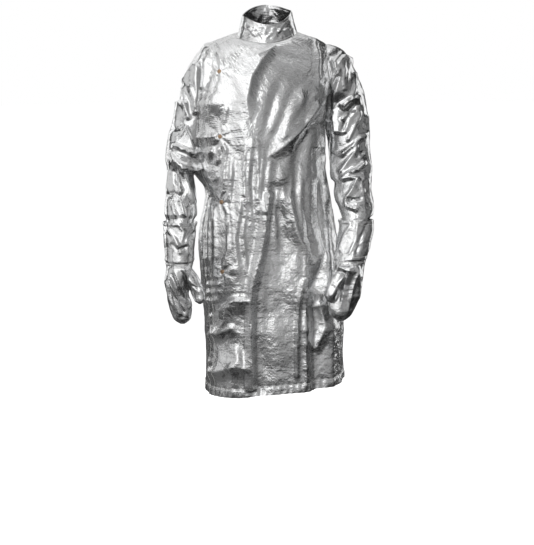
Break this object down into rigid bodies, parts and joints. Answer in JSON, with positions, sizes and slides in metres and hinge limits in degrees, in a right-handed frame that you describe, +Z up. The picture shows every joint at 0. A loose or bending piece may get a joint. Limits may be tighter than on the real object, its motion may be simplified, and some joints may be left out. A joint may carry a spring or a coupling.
{
  "type": "aluminized suit",
  "caption": "Long aluminized wrap-front coat with a stand collar, snap fastening and set-in sleeves, with one-thumb gauntlet mittens over the cuffs, in its worn form.",
  "frame": {"origin": "middle of the collar seam, where the coat rests round the wearer's neck", "axes": "+Z up, front of the coat towards -Y, +X towards the wearer's left"},
  "size_m": [0.6213, 0.3507, 1.1258],
  "materials": {
    "foil_cloth": "aluminized, crumpled, half gloss",
    "snap_brass": "satin"
  },
  "bodies": {
    "root": {"left_front_flap": "foil_cloth", "right_front_underlap": "foil_cloth", "back_panel": "foil_cloth", "collar": "foil_cloth", "right_sleeve": "foil_cloth", "left_sleeve": "foil_cloth", "right_gauntlet": "foil_cloth", "left_gauntlet": "foil_cloth", "right_mitt": "foil_cloth", "left_mitt": "foil_cloth", "snap_cap_1": "snap_brass", "snap_cap_2": "snap_brass", "snap_cap_3": "snap_brass", "snap_cap_4": "snap_brass"}
  },
  "joints": []
}
